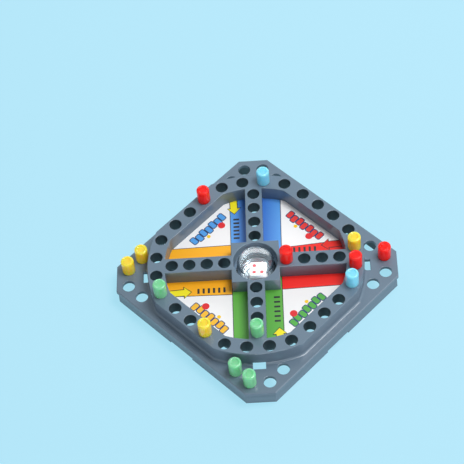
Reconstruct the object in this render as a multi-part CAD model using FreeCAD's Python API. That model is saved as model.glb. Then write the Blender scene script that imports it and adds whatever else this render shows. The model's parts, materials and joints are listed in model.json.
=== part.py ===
import FreeCAD, Part

import math
import os

# Pocket board game with a press-and-pop dice dome.
# Frame: millimetres, +Z up, origin under the middle of the board on the table.
# The square's sides run along X and Y, so the four arms lie on the diagonals.

V = FreeCAD.Vector

# ---------------------------------------------------------------- driving sizes
MOVE_GAP = 0.3               # clear air between pieces that move past each other
SEAT_GAP = 0.2               # loose seat between pieces that stay put
THREAD_GAP = 0.02            # screw in its pilot hole
OVERRUN = 1.0                # how far a cutting tool runs past a face

SIDE = 135.0                 # square board, rim to rim
CORNER_CUT = 12.9            # leg of the chamfer at each corner
SHELF_Z = 11.6               # top of the low shelf round the track
SHELF_THICK = 2.4
SHELF_WIDTH = 5.8            # shelf beside the track's flat sides, to the rim's edge
RIM_THICK = 2.7              # edge band that overhangs the skirt
RIM_OVERHANG = 1.0
RIM_EDGE = 0.5               # chamfer along the rim's top edge
SKIRT_WALL = 1.8
SKIRT_DRAFT = 0.5            # how far the skirt leans out over its height
NOTCH_WIDTH = 18.5           # finger notch in the middle of each skirt side
NOTCH_HEIGHT = 1.4

HOLE_R = 3.8
TRACK_RISE = 10.8            # top of the raised track above the shelf
BAND_RISE = 1.4              # underside of its band of holes above the shelf
TRACK_BULGE = 4.6            # how far its round corners reach beyond its sides' distance
SIDE_BAND = 11.2             # width of the track along its sides
CORNER_BAND = 10.7           # and round its corners
TRACK_EDGE = 0.4             # chamfer along the track's top edges
TRACK_COVE = 1.4             # hollow fillet from the track wall to the shelf
TRACK_WALL = 1.8             # outer wall below the band
LINER_WALL = 1.2             # inner walls and arm walls below it
SINK_ROOF = 1.9              # skin left over the pockets between holes
SINK_WEB = 1.3               # wall left between a pocket and its holes
ARM_RIM = 1.45               # flat left beside the holes of an arm
HUB_HALF = 14.6

ARC_EDGE = 5.3               # from the track's outer edge to the hole centres, at the corners
ARC_STEP = 13.39             # straight from one hole centre to the next
ARC_COUNT = 4
ROW_EDGE = 5.2               # the same along the flat sides
ROW_STEP = 12.75
ROW_COUNT = 3
LANE_EDGE = 4.4              # from the hub and from the track's inner edge to an arm's end holes
LANE_COUNT = 4
HOME_NEAR_EDGE = 4.25        # home holes: out from the track's corner, and in from the cut corner
HOME_FAR_EDGE = 7.54
HOME_NEAR_HALF = 14.1        # and how far to each side of the arm's line
HOME_FAR_HALF = 5.86

WINDOW_DEPTH = 3.5           # window in the shelf and the track's foot at each corner
WINDOW_WIDTH = 7.8
LATCH_WIDTH = 4.4
LATCH_THICK = 1.1
LATCH_SETBACK = 1.3          # latch stands in from the track wall, out of the window's sight
LATCH_LEDGE = 1.2            # what its nose rests on, above the band's underside
LATCH_NOSE = 1.2
NOSE_HEIGHT = 1.2

CARD_THICK = 0.4
PLATE_THICK = 1.6            # floor plate that carries the printed cards
PLATE_LAP = 1.0              # how far it reaches under the track's inner wall
CARD_LAP = 0.8
SLOT_GAP = 0.6               # slots under the arms, round the pegs' stems
RIB_THICK = 1.2
SHELF_RIB = 4.0
PLATE_RIB = 2.0
STRUT_PLACE = 22.0           # short ribs between skirt and track, from mid-side

HUB_WALL = 0.9               # thinnest wall between the well and the hub's sides
LEDGE_WIDTH = 1.4            # stop for the dome's flange, inside the well
LEDGE_THICK = 1.6
CUP_WALL = 1.4
CUP_GAP = 0.1                # cup bore over the well's own radius
CUP_FLOOR = 1.6
CUP_FOOT = 1.2               # cup clear of the table
POST_R = 2.4                 # fixed post that the snap disc is pressed onto

DOME_RISE = 4.6              # dome's top above the track
DOME_DRAFT = 0.5             # how far its side leans in from foot to shoulder
DOME_WALL = 1.0
DOME_CROWN = 6.0             # height of the rounded top
DOME_SHOULDER_R = 4.6
FLANGE_GAP = 0.9             # flange clear of the well's wall
FLANGE_THICK = 1.5
PRESS_TRAVEL = 2.0
DISC_THICK = 0.4
DISC_RIM = 1.4               # flat rim that the flange rests on
DISC_SLOPE = 1.1             # width of its sloping side
DISC_PAN_DEPTH = 4.2
RETAINER_WALL = 0.45
RETAINER_THICK = 1.4
RETAINER_LIP = 1.1

DIE_SIZE = 11.0
DIE_EDGE = 1.3
DIE_SHIFT = (1.3, -2.6)      # where the die lies, along and across the first arm
DIE_TURN = 42.0              # degrees about Z

SCREW_INSET = 2.4            # screws outside the hub's half width, on its diagonals
SCREW_R = 1.0
SCREW_LENGTH = 9.4
SCREW_HEAD_R = 1.9
SCREW_HEAD = 1.3
SCREW_PAD_R = 2.8
SCREW_PAD = 1.6

PEG_SHOULDER = 0.2           # how far a peg's head laps over its hole
PEG_HEIGHT = 10.5
PEG_EDGE = 0.4
STEM_GAP = 0.4               # stem loose in its hole
STEM_SHORT = 0.4             # stem's end above the hole's lower mouth

# ------------------------------------------------------------- what follows on
ARM_ANGLES = {"right": 45.0, "far": 135.0, "left": 225.0, "near": 315.0}
SIDE_ANGLES = {"east": 0.0, "north": 90.0, "west": 180.0, "south": 270.0}
CARD_NAMES = {"red": 90.0, "blue": 180.0, "yellow": 270.0, "green": 0.0}

SHELF_UNDER = SHELF_Z - SHELF_THICK
RIM_UNDER = SHELF_Z - RIM_THICK
TRACK_Z = SHELF_Z + TRACK_RISE
BAND_UNDER = SHELF_Z + BAND_RISE
CARD_Z = SHELF_Z - CARD_THICK
PLATE_UNDER = CARD_Z - PLATE_THICK
SKIRT_TOP_HALF = SIDE / 2 - RIM_OVERHANG
SKIRT_FOOT_HALF = SKIRT_TOP_HALF + SKIRT_DRAFT
CORNER_FACE = (SIDE - CORNER_CUT) / math.sqrt(2)
TRACK_HALF_OUT = SIDE / 2 - SHELF_WIDTH
TRACK_R_OUT = TRACK_HALF_OUT + TRACK_BULGE
TRACK_HALF_IN = TRACK_HALF_OUT - SIDE_BAND
TRACK_R_IN = TRACK_R_OUT - CORNER_BAND
ARM_WIDTH = 2 * (HOLE_R + ARM_RIM)
WINDOW_OUT = TRACK_R_OUT + WINDOW_DEPTH
HOOK_OUT = TRACK_R_OUT - TRACK_WALL - LATCH_SETBACK
HOOK_IN = HOOK_OUT - LATCH_THICK
LEDGE_Z = BAND_UNDER + LATCH_LEDGE
NOSE_Z = LEDGE_Z + SEAT_GAP
LATCH_TOP = NOSE_Z + NOSE_HEIGHT

ARC_R = TRACK_R_OUT - ARC_EDGE
ARC_PITCH = 2 * math.degrees(math.asin(ARC_STEP / 2 / ARC_R))
ROW_OFFSET = TRACK_HALF_OUT - ROW_EDGE
LANE_START = HUB_HALF + LANE_EDGE
LANE_END = TRACK_R_IN - LANE_EDGE
LANE_STEP = (LANE_END - LANE_START) / (LANE_COUNT - 1)
HOME_NEAR = TRACK_R_OUT + HOME_NEAR_EDGE
HOME_FAR = CORNER_FACE - HOME_FAR_EDGE

WELL_R = HUB_HALF - HUB_WALL
LEDGE_R = WELL_R - LEDGE_WIDTH
CUP_R = WELL_R + CUP_GAP
FLANGE_R = WELL_R - FLANGE_GAP
FLANGE_TOP = SHELF_Z + SEAT_GAP + MOVE_GAP + SEAT_GAP
LEDGE_UNDER = FLANGE_TOP + MOVE_GAP
DOME_FOOT_R = LEDGE_R - 2 * MOVE_GAP
DOME_R = DOME_FOOT_R - DOME_DRAFT
DOME_TOP = TRACK_Z + DOME_RISE
DOME_SHOULDER_Z = DOME_TOP - DOME_CROWN
RIM_DISC_Z = FLANGE_TOP - FLANGE_THICK
PAN_Z = RIM_DISC_Z - DISC_PAN_DEPTH
DISC_RIM_R = FLANGE_R - DISC_RIM
DISC_PAN_R = DISC_RIM_R - DISC_SLOPE
RETAINER_IN_R = DISC_RIM_R + SEAT_GAP
RETAINER_R = FLANGE_R + RETAINER_WALL + THREAD_GAP
CUP_INSIDE_Z = CUP_FOOT + CUP_FLOOR
POST_TOP = PAN_Z - DISC_THICK - PRESS_TRAVEL - MOVE_GAP
SCREW_RING = HUB_HALF + SCREW_INSET

PEG_R = HOLE_R + PEG_SHOULDER
STEM_R = HOLE_R - STEM_GAP
STEM_LENGTH = TRACK_Z - BAND_UNDER - STEM_SHORT
SLOT_HALF = STEM_R + SLOT_GAP


# ------------------------------------------------------------------ small tools
def polar(radius, angle, lateral=0.0):
    """Point at a radius and angle in degrees, shifted sideways to its left."""
    turn = math.radians(angle)
    x = radius * math.cos(turn) - lateral * math.sin(turn)
    y = radius * math.sin(turn) + lateral * math.cos(turn)
    return V(x, y, 0)


def turned(shape, angle):
    """The shape turned about the Z axis."""
    copy = shape.copy()
    copy.rotate(V(0, 0, 0), V(0, 0, 1), angle)
    return copy


def ring_of(shape, angles):
    """Copies of a shape turned to each angle."""
    return [turned(shape, angle) for angle in angles]


def prism(wire, low, high):
    """A flat wire at z = 0 made solid between two heights."""
    face = Part.Face(wire)
    face.translate(V(0, 0, low))
    return face.extrude(V(0, 0, high - low))


def block(x_low, x_high, half_width, low, high):
    """A box from one radius to another, as wide on both sides of the X axis."""
    corner = V(x_low, -half_width, low)
    return Part.makeBox(x_high - x_low, 2 * half_width, high - low, corner)


def rod(radius, low, high, centre=V(0, 0, 0)):
    """An upright round bar."""
    return Part.makeCylinder(radius, high - low, centre + V(0, 0, low))


def cone(r_low, r_high, low, high, centre=V(0, 0, 0)):
    """An upright tapered bar."""
    return Part.makeCone(r_low, r_high, high - low, centre + V(0, 0, low))


def spun(edges):
    """A closed profile in the XZ half-plane, turned into a solid about Z."""
    face = Part.Face(Part.Wire(edges))
    return face.revolve(V(0, 0, 0), V(0, 0, 1), 360)


def profile(points):
    """A closed profile of straight runs through (radius, height) points."""
    corners = [V(radius, 0, height) for radius, height in points]
    return Part.makePolygon(corners + corners[:1]).Edges


def cut_square(half, height=0.0):
    """The board's square with its corners cut, at one height.

    The cut keeps its place relative to the sides, so walls stay even.
    """
    face_gap = (SIDE / 2 - half) * math.sqrt(2)
    leg = CORNER_CUT - face_gap * (math.sqrt(2) - 1)
    points = []
    for angle in (0, 90, 180, 270):
        for reach in (-(half - leg), half - leg):
            point = polar(half, angle, reach)
            point.z = height
            points.append(point)
    return Part.makePolygon(points + points[:1])


def track_outline(half, radius):
    """A square with rounded corners: flat sides joined by arcs about the centre."""
    reach = math.sqrt(radius ** 2 - half ** 2)
    edges = []
    for angle in (0, 90, 180, 270):
        start = polar(half, angle, -reach)
        end = polar(half, angle, reach)
        following = polar(half, angle + 90, -reach)
        edges.append(Part.LineSegment(start, end).toShape())
        edges.append(Part.Arc(end, polar(radius, angle + 45), following).toShape())
    return Part.Wire(edges)


def slot(start, end, half_width, low, high):
    """A round-ended slot along the X axis."""
    ends = [rod(half_width, low, high, V(x, 0, 0)) for x in (start, end)]
    return ends[0].fuse([ends[1], block(start, end, half_width, low, high)]).removeSplitter()


# ------------------------------------------------------------- places of holes
def arc_places():
    """Hole centres on the four rounded corners, keyed by arm and step."""
    first = -ARC_PITCH * (ARC_COUNT - 1) / 2
    return {(arm, step): polar(ARC_R, angle + first + step * ARC_PITCH)
            for arm, angle in ARM_ANGLES.items() for step in range(ARC_COUNT)}


def row_places():
    """Hole centres along the four flat sides, keyed by side and step."""
    first = -ROW_STEP * (ROW_COUNT - 1) / 2
    return {(side, step): polar(ROW_OFFSET, angle, first + step * ROW_STEP)
            for side, angle in SIDE_ANGLES.items() for step in range(ROW_COUNT)}


def lane_places():
    """Hole centres along the four arms, keyed by arm and step."""
    return {(arm, step): polar(LANE_START + step * LANE_STEP, angle)
            for arm, angle in ARM_ANGLES.items() for step in range(LANE_COUNT)}


def home_places():
    """Hole centres in the corner shelves, keyed by arm and step."""
    homes = [(HOME_NEAR, -HOME_NEAR_HALF), (HOME_FAR, -HOME_FAR_HALF),
             (HOME_FAR, HOME_FAR_HALF), (HOME_NEAR, HOME_NEAR_HALF)]
    return {(arm, step): polar(home[0], angle, home[1])
            for arm, angle in ARM_ANGLES.items() for step, home in enumerate(homes)}


# ------------------------------------------------------------- the board itself
def board_shell():
    """Rim, skirt and shelf with the raised block of the track, open below."""
    rim = prism(cut_square(SIDE / 2), RIM_UNDER, SHELF_Z)
    top_edges = [edge for edge in rim.Edges if edge.BoundBox.ZMin > SHELF_Z - RIM_EDGE / 2]
    rim = rim.makeChamfer(RIM_EDGE, top_edges)
    foot = cut_square(SKIRT_FOOT_HALF)
    head = cut_square(SKIRT_TOP_HALF, RIM_UNDER)
    skirt = Part.makeLoft([foot, head], True, True)
    lean = SKIRT_DRAFT * OVERRUN / RIM_UNDER
    inner_foot = cut_square(SKIRT_FOOT_HALF - SKIRT_WALL + lean, -OVERRUN)
    share = SHELF_UNDER / RIM_UNDER
    inner_head = cut_square(SKIRT_FOOT_HALF - SKIRT_WALL - SKIRT_DRAFT * share, SHELF_UNDER)
    hollow = Part.makeLoft([inner_foot, inner_head], True, True)
    block_top = prism(track_outline(TRACK_HALF_OUT, TRACK_R_OUT), SHELF_UNDER, TRACK_Z)
    top_edges = [edge for edge in block_top.Edges if edge.BoundBox.ZMin > TRACK_Z - TRACK_EDGE]
    block_top = block_top.makeChamfer(TRACK_EDGE, top_edges)
    shell = rim.fuse([skirt]).cut(hollow).fuse([block_top]).removeSplitter()
    foot_edges = [edge for edge in shell.Edges if is_track_foot(edge)]
    return shell.makeFillet(TRACK_COVE, foot_edges)


def is_track_foot(edge):
    """True for an edge where the track's outer wall meets the shelf."""
    box = edge.BoundBox
    if abs(box.ZMin - SHELF_Z) > SEAT_GAP or abs(box.ZMax - SHELF_Z) > SEAT_GAP:
        return False
    middle = edge.valueAt((edge.FirstParameter + edge.LastParameter) / 2)
    reach = max(abs(middle.x), abs(middle.y))
    return reach < TRACK_HALF_OUT + SEAT_GAP and math.hypot(middle.x, middle.y) < TRACK_R_OUT + SEAT_GAP


def quadrant(inset, reach, hub_half, low, high):
    """The quarter between two arms, about the +X axis.

    inset moves its straight sides in from the arms, and reach its outer edge
    out past the track's inner wall.
    """
    lane = ARM_WIDTH / 2 + inset
    sides = Part.makeBox(2 * SIDE, 2 * SIDE, high - low, V(lane, lane, low))
    hub = Part.makeBox(hub_half, hub_half, high - low, V(0, 0, low))
    quarter = turned(sides.cut(hub), -45)
    outline = track_outline(TRACK_HALF_IN + reach, TRACK_R_IN + reach)
    return quarter.common(prism(outline, low, high)).removeSplitter()


def sink_pockets():
    """Pockets under the track between neighbouring holes, so that walls stay even."""
    pocket_top = TRACK_Z - SINK_ROOF
    depth = TRACK_R_OUT - TRACK_WALL - TRACK_R_IN - LINER_WALL
    mid = (TRACK_R_OUT - TRACK_WALL + TRACK_R_IN + LINER_WALL) / 2
    arc_gap = ARC_STEP - 2 * HOLE_R - 2 * SINK_WEB
    pockets = []
    for arm in ARM_ANGLES.values():
        for step in (-1, 1):
            pocket = block(mid - depth / 2, mid + depth / 2, arc_gap / 2, BAND_UNDER - OVERRUN, pocket_top)
            pockets.append(turned(pocket, arm + step * ARC_PITCH))
    row_gap = ROW_STEP - 2 * HOLE_R - 2 * SINK_WEB
    low_x = TRACK_HALF_IN + LINER_WALL
    high_x = TRACK_HALF_OUT - TRACK_WALL
    for side in SIDE_ANGLES.values():
        for step in (-1, 1):
            pocket = block(low_x, high_x, row_gap / 2, BAND_UNDER - OVERRUN, pocket_top)
            pocket.translate(V(0, step * ROW_STEP / 2, 0))
            pockets.append(turned(pocket, side))
    return pockets


def make_game_board():
    """The one moulding that players see: skirt, shelf, track, arms and hub."""
    board = board_shell()
    cuts = []
    cuts += ring_of(quadrant(0, 0, HUB_HALF, SHELF_UNDER, TRACK_Z + OVERRUN), SIDE_ANGLES.values())
    inner = track_outline(TRACK_HALF_OUT - TRACK_WALL, TRACK_R_OUT - TRACK_WALL)
    liner = track_outline(TRACK_HALF_IN + LINER_WALL, TRACK_R_IN + LINER_WALL)
    cuts.append(prism(inner, SHELF_UNDER - OVERRUN, SHELF_Z))
    cuts.append(prism(inner, SHELF_Z, BAND_UNDER).cut(prism(liner, SHELF_Z, BAND_UNDER)))
    lane_half = ARM_WIDTH / 2 - LINER_WALL
    lane = block(HUB_HALF, TRACK_R_IN + LINER_WALL, lane_half, SHELF_Z, BAND_UNDER)
    cuts += ring_of(lane, ARM_ANGLES.values())
    cuts += sink_pockets()
    for places in (arc_places(), row_places(), lane_places()):
        cuts += [rod(HOLE_R, SHELF_Z, TRACK_Z + OVERRUN, place) for place in places.values()]
    cuts += [rod(HOLE_R, SHELF_UNDER - OVERRUN, SHELF_Z + OVERRUN, place)
             for place in home_places().values()]
    cuts.append(rod(WELL_R, LEDGE_UNDER + LEDGE_THICK, TRACK_Z + OVERRUN))
    cuts.append(rod(LEDGE_R, SHELF_UNDER, TRACK_Z))
    cuts.append(rod(WELL_R, SHELF_UNDER, LEDGE_UNDER))
    window = block(TRACK_R_OUT - TRACK_WALL - OVERRUN, WINDOW_OUT, WINDOW_WIDTH / 2,
                   SHELF_UNDER - OVERRUN, SHELF_Z + TRACK_COVE)
    seat_half = LATCH_WIDTH / 2 + SEAT_GAP
    latch_shaft = block(HOOK_IN - LATCH_NOSE, HOOK_OUT + SEAT_GAP, seat_half,
                        SHELF_Z, LATCH_TOP + SEAT_GAP)
    nose_seat = block(HOOK_OUT, HOOK_OUT + LATCH_NOSE + SEAT_GAP, seat_half,
                      LEDGE_Z, LATCH_TOP + SEAT_GAP)
    for cut in (window, latch_shaft, nose_seat):
        cuts += ring_of(cut, ARM_ANGLES.values())
    pilot = rod(SCREW_R + THREAD_GAP, SHELF_UNDER, PLATE_UNDER - SCREW_PAD + SCREW_LENGTH + MOVE_GAP,
                V(SCREW_RING, 0, 0))
    cuts += ring_of(pilot, SIDE_ANGLES.values())
    notch = block(SIDE / 2 - RIM_OVERHANG - 2 * SKIRT_WALL, SIDE / 2 + OVERRUN, NOTCH_WIDTH / 2,
                  -OVERRUN, NOTCH_HEIGHT)
    cuts += ring_of(notch, SIDE_ANGLES.values())
    return board.cut(cuts).fuse(shelf_ribs()).removeSplitter()


def shelf_ribs():
    """Stiffening ribs under the shelf, one in each corner and two along each side."""
    low = SHELF_UNDER - SHELF_RIB
    corner_end = CORNER_FACE - RIM_OVERHANG - SKIRT_WALL / 2
    corner_rib = block(WINDOW_OUT + SEAT_GAP, corner_end, RIB_THICK / 2, low, SHELF_UNDER)
    ribs = ring_of(corner_rib, ARM_ANGLES.values())
    side_rib = block(TRACK_HALF_OUT - TRACK_WALL, SKIRT_TOP_HALF - SKIRT_WALL / 2,
                     RIB_THICK / 2, low, SHELF_UNDER)
    for side in SIDE_ANGLES.values():
        for place in (-STRUT_PLACE, STRUT_PLACE):
            rib = side_rib.copy()
            rib.translate(V(0, place, 0))
            ribs.append(turned(rib, side))
    return ribs


# ------------------------------------------------- floor plate, cards and screws
def make_floor_plate():
    """Plate clipped in from below: it holds the cards up and has the popper's cup."""
    outline = track_outline(TRACK_HALF_IN + PLATE_LAP, TRACK_R_IN + PLATE_LAP)
    plate = prism(outline, PLATE_UNDER, CARD_Z)
    cup_outer = CUP_R + CUP_WALL
    parts = [rod(cup_outer, CUP_FOOT, CARD_Z)]
    pad = rod(SCREW_PAD_R, PLATE_UNDER - SCREW_PAD, PLATE_UNDER, V(SCREW_RING, 0, 0))
    rib = block(SCREW_RING, TRACK_HALF_IN - PLATE_LAP, RIB_THICK / 2,
                PLATE_UNDER - PLATE_RIB, PLATE_UNDER)
    parts += ring_of(pad, SIDE_ANGLES.values())
    parts += ring_of(rib, SIDE_ANGLES.values())
    parts += ring_of(latch(), ARM_ANGLES.values())
    plate = plate.fuse(parts)
    lane = slot(LANE_START, LANE_END, SLOT_HALF, PLATE_UNDER - OVERRUN, CARD_Z + OVERRUN)
    screw_hole = rod(SCREW_R + SEAT_GAP, PLATE_UNDER - SCREW_PAD - PLATE_RIB, CARD_Z + OVERRUN,
                     V(SCREW_RING, 0, 0))
    head_room = rod(SCREW_HEAD_R + SEAT_GAP, PLATE_UNDER - 2 * PLATE_RIB - SCREW_PAD,
                    PLATE_UNDER - SCREW_PAD, V(SCREW_RING, 0, 0))
    cuts = ring_of(lane, ARM_ANGLES.values())
    cuts += ring_of(screw_hole, SIDE_ANGLES.values())
    cuts += ring_of(head_room, SIDE_ANGLES.values())
    cuts.append(rod(CUP_R, CUP_INSIDE_Z, CARD_Z + OVERRUN))
    post = cone(POST_R + MOVE_GAP, POST_R, CUP_FOOT, POST_TOP)
    return plate.cut(cuts).fuse([post]).removeSplitter()


def latch():
    """A springy tongue on the plate's corner whose nose snaps over a ledge inside the track."""
    tongue = block(TRACK_R_IN, HOOK_OUT, LATCH_WIDTH / 2, PLATE_UNDER, CARD_Z)
    upright = block(HOOK_IN, HOOK_OUT, LATCH_WIDTH / 2, PLATE_UNDER, LATCH_TOP)
    tip = HOOK_OUT + LATCH_NOSE
    corners = [V(HOOK_IN, 0, NOSE_Z), V(tip, 0, NOSE_Z), V(tip, 0, NOSE_Z + SEAT_GAP),
               V(HOOK_OUT, 0, LATCH_TOP), V(HOOK_IN, 0, LATCH_TOP)]
    nose = Part.Face(Part.makePolygon(corners + corners[:1]))
    nose.translate(V(0, -LATCH_WIDTH / 2, 0))
    return tongue.fuse([upright, nose.extrude(V(0, LATCH_WIDTH, 0))]).removeSplitter()


def make_card(angle):
    """One printed card, its edges tucked under the walls round its quarter."""
    lap = CARD_LAP
    card = quadrant(-lap, lap, HUB_HALF - lap, CARD_Z, SHELF_Z)
    well = rod(CUP_R + CUP_WALL / 2, CARD_Z - OVERRUN, SHELF_Z + OVERRUN)
    screw_hole = rod(SCREW_R + MOVE_GAP, CARD_Z - OVERRUN, SHELF_Z + OVERRUN, V(SCREW_RING, 0, 0))
    return turned(card.cut([well, screw_hole]), angle)


def make_plate_screws():
    """Four small screws, up through the plate into the hub's corners."""
    seat = PLATE_UNDER - SCREW_PAD
    head = rod(SCREW_HEAD_R, seat - SCREW_HEAD, seat)
    shank = rod(SCREW_R, seat, seat + SCREW_LENGTH)
    screw = head.fuse([shank]).removeSplitter()
    screw.translate(V(SCREW_RING, 0, 0))
    return Part.makeCompound(ring_of(screw, SIDE_ANGLES.values()))


# ------------------------------------------------------------------- the popper
def crown_edges(offset):
    """The dome's top as two tangent arcs, moved inwards by an offset.

    The big arc is centred on the axis and the small one rounds the shoulder.
    """
    shoulder_x = DOME_R - DOME_SHOULDER_R
    rise = DOME_TOP - DOME_SHOULDER_Z
    crown_r = (shoulder_x ** 2 + rise ** 2 - DOME_SHOULDER_R ** 2) / (2 * (rise - DOME_SHOULDER_R))
    centre_z = DOME_TOP - crown_r
    lean = math.atan2(shoulder_x, DOME_SHOULDER_Z - centre_z)

    def on_crown(angle):
        reach = crown_r - offset
        return V(reach * math.sin(angle), 0, centre_z + reach * math.cos(angle))

    def on_shoulder(angle):
        reach = DOME_SHOULDER_R - offset
        return V(shoulder_x + reach * math.sin(angle), 0, DOME_SHOULDER_Z + reach * math.cos(angle))

    crown = Part.Arc(on_crown(0), on_crown(lean / 2), on_crown(lean))
    half_turn = (lean + math.pi / 2) / 2
    shoulder = Part.Arc(on_crown(lean), on_shoulder(half_turn), on_shoulder(math.pi / 2))
    return [crown.toShape(), shoulder.toShape()]


def make_dome():
    """Clear dome with a flange that is caught under the well's ledge."""
    outer = crown_edges(0)
    inner = crown_edges(DOME_WALL)
    foot_in = DOME_FOOT_R - DOME_WALL
    runs = [V(DOME_R, 0, DOME_SHOULDER_Z), V(DOME_FOOT_R, 0, FLANGE_TOP), V(FLANGE_R, 0, FLANGE_TOP),
            V(FLANGE_R, 0, RIM_DISC_Z), V(foot_in, 0, RIM_DISC_Z),
            V(DOME_R - DOME_WALL, 0, DOME_SHOULDER_Z)]
    side = Part.makePolygon(runs).Edges
    axis = Part.makeLine(V(0, 0, DOME_TOP - DOME_WALL), V(0, 0, DOME_TOP))
    return spun(Part.sortEdges(outer + side + inner + [axis])[0])


def make_snap_disc():
    """Spring-steel pan that floors the dome and snaps against the fixed post."""
    top = [(0, PAN_Z), (DISC_PAN_R, PAN_Z), (DISC_RIM_R, RIM_DISC_Z), (FLANGE_R, RIM_DISC_Z)]
    bottom = [(radius, height - DISC_THICK) for radius, height in reversed(top)]
    return spun(profile(top + bottom))


def make_disc_retainer():
    """Angle ring that snaps round the flange and holds the disc against it."""
    high = RIM_DISC_Z - DISC_THICK
    lip_in = FLANGE_R + THREAD_GAP
    points = [(RETAINER_IN_R, high - RETAINER_THICK), (RETAINER_R, high - RETAINER_THICK),
              (RETAINER_R, high + RETAINER_LIP), (lip_in, high + RETAINER_LIP),
              (lip_in, high), (RETAINER_IN_R, high)]
    return spun(profile(points))


def make_die():
    """The die, lying on the disc."""
    half = DIE_SIZE / 2
    die = Part.makeBox(DIE_SIZE, DIE_SIZE, DIE_SIZE, V(-half, -half, 0))
    die = die.makeFillet(DIE_EDGE, die.Edges)
    die = turned(die, DIE_TURN)
    place = polar(DIE_SHIFT[0], ARM_ANGLES["right"], DIE_SHIFT[1])
    die.translate(place + V(0, 0, PAN_Z))
    return die


# --------------------------------------------------------------------- the pegs
def make_peg(place, seat):
    """A peg with its shoulder on the seat and its stem in the hole."""
    points = [(0, -STEM_LENGTH), (STEM_R, -STEM_LENGTH), (STEM_R, 0), (PEG_R, 0),
              (PEG_R, PEG_HEIGHT - PEG_EDGE), (PEG_R - PEG_EDGE, PEG_HEIGHT), (0, PEG_HEIGHT)]
    peg = spun(profile(points))
    peg.translate(place + V(0, 0, seat))
    return peg


def peg_seats():
    """Where each peg stands, by colour: the hole's place and the height of its mouth."""
    arcs = arc_places()
    rows = row_places()
    lanes = lane_places()
    homes = home_places()
    return {
        "red": [(rows["west", 0], TRACK_Z), (arcs["right", 1], TRACK_Z),
                (lanes["right", 0], TRACK_Z), (homes["right", 2], SHELF_Z)],
        "yellow": [(arcs["right", 2], TRACK_Z), (rows["south", 2], TRACK_Z),
                   (homes["left", 1], SHELF_Z), (homes["left", 0], SHELF_Z)],
        "green": [(arcs["left", 3], TRACK_Z), (lanes["near", 3], TRACK_Z),
                  (homes["near", 1], SHELF_Z), (homes["near", 0], SHELF_Z)],
        "blue": [(arcs["far", 1], TRACK_Z), (arcs["right", 0], TRACK_Z)],
    }


# ---------------------------------------------------------------------- writing
def build_nodes():
    """Every sub-part by name."""
    nodes = {
        "game_board": make_game_board(),
        "floor_plate": make_floor_plate(),
        "plate_screws": make_plate_screws(),
        "dome": make_dome(),
        "snap_disc": make_snap_disc(),
        "disc_retainer": make_disc_retainer(),
        "die": make_die(),
    }
    for colour, angle in CARD_NAMES.items():
        nodes["card_" + colour] = make_card(angle)
    for colour, seats in peg_seats().items():
        for number, (place, seat) in enumerate(seats, start=1):
            nodes[f"peg_{colour}_{number}"] = make_peg(place, seat)
    return nodes


def main():
    os.makedirs("parts", exist_ok=True)
    for name, shape in build_nodes().items():
        shape.exportStep(f"parts/{name}.step")
        print(name, "solids", len(shape.Solids), "volume", round(shape.Volume, 1), "valid", shape.isValid())


main()
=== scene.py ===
import json
import logging
import math
from dataclasses import dataclass, field
from enum import Enum

import bmesh
import bpy
from bmesh.types import BMesh, BMFace
from bpy.types import ID, Material, Node, NodeSocket, NodeTree, Object
from mathutils import Euler, Matrix, Vector

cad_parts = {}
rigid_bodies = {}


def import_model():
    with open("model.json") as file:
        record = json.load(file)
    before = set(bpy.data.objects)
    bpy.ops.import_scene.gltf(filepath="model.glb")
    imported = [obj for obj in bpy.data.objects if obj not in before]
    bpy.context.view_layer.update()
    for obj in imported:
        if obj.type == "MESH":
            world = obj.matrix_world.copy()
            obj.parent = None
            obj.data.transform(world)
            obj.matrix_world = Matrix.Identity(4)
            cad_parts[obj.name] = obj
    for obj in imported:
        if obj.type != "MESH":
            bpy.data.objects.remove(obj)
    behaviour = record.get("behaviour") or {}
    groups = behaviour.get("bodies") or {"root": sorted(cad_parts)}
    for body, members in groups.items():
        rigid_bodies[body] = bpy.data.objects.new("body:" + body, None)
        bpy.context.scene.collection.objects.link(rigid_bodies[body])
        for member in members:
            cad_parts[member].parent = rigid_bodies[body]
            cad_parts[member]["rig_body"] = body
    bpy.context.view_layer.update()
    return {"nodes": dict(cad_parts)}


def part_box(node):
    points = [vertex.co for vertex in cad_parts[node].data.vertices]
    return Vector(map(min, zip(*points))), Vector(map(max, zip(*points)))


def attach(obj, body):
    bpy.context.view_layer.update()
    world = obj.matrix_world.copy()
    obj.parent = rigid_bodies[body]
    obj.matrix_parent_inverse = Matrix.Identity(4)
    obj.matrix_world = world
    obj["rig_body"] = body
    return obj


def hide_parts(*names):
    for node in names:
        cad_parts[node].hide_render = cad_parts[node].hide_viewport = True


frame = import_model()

PICTURE_WIDTH = 464
SENSOR_MM = 36.0
MM = 0.001
WELD = 2e-6                 # corners of a mesh that are nearer than this, in metres, become one
STYRENE_IOR, ABS_IOR = 1.59, 1.54
MIX_BY, MIX_A, MIX_B, MIXED = 0, 6, 7, 2        # sockets of a Mix node that mixes colours
ARM_ANGLES = {"right": 45.0, "far": 135.0, "left": 225.0, "near": 315.0}

Point = tuple[float, float]
Triple = tuple[float, float, float]
Rgba = tuple[float, float, float, float]

log = logging.getLogger("pop_up_dice_game")


# ---------------------------------------------------------------- small helpers


def srgb(code: str) -> Rgba:
    """Turn an sRGB hex colour into Blender's linear one.

    Args:
        code: the colour, such as "#74889C".

    Returns:
        Linear red, green, blue and an alpha of 1.
    """
    parts = [int(code[i:i + 2], 16) / 255 for i in (1, 3, 5)]
    linear = [p / 12.92 if p <= 0.04045 else ((p + 0.055) / 1.055) ** 2.4 for p in parts]
    return (linear[0], linear[1], linear[2], 1.0)


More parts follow.
